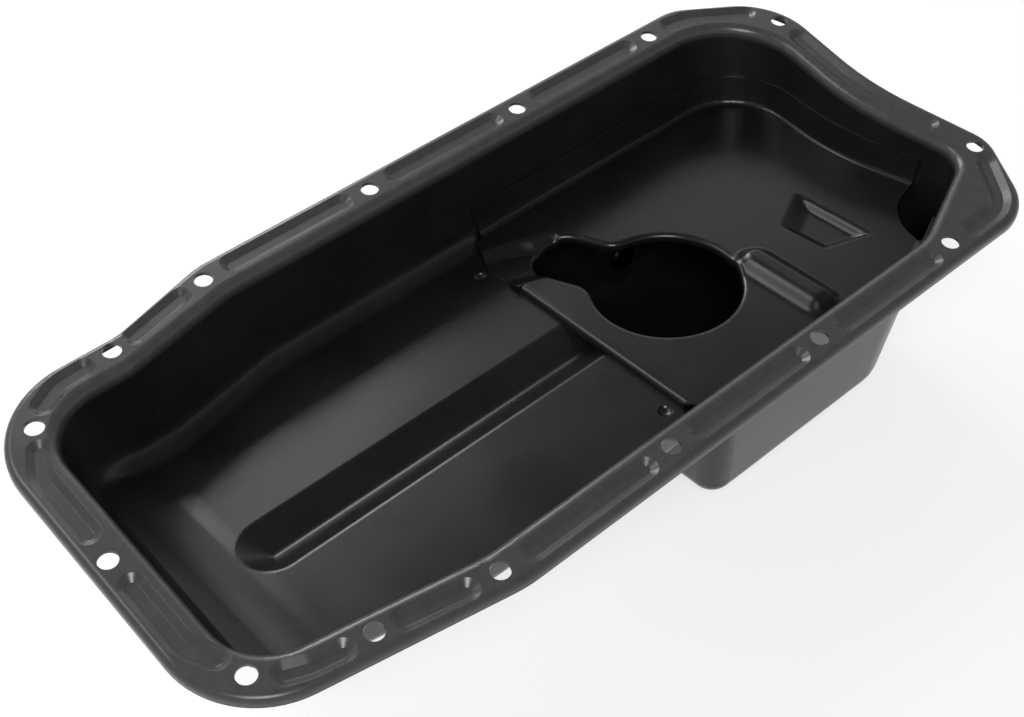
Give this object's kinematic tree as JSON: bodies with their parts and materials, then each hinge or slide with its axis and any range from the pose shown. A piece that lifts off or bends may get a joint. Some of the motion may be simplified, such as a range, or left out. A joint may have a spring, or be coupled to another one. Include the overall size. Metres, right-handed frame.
{
  "type": "engine oil pan",
  "caption": "Pressed steel oil pan: shallow front with a drain channel, deep sump under a welded baffle with a keyhole, bolted flange with sealing grooves, drain plug.",
  "frame": {"origin": "on the flange's joint face, in the middle of the two long rows of bolt holes", "axes": "+Z out of the joint face towards the engine, +X along the engine towards the deep sump, +Y towards the side where the floor is lower"},
  "size_m": [0.4277, 0.198, 0.1088],
  "materials": {
    "pan_coat": "black electrocoat, semi-gloss, over pressed sheet steel",
    "baffle_coat": "black electrocoat, semi-gloss, over pressed sheet steel",
    "ring_metal": "soft washer, satin",
    "plug_zinc": "zinc plated steel"
  },
  "bodies": {
    "root": {"pan_shell": "pan_coat", "baffle_plate": "baffle_coat", "drain_nut": "pan_coat", "sealing_ring": "ring_metal", "drain_plug": "plug_zinc"}
  },
  "joints": []
}
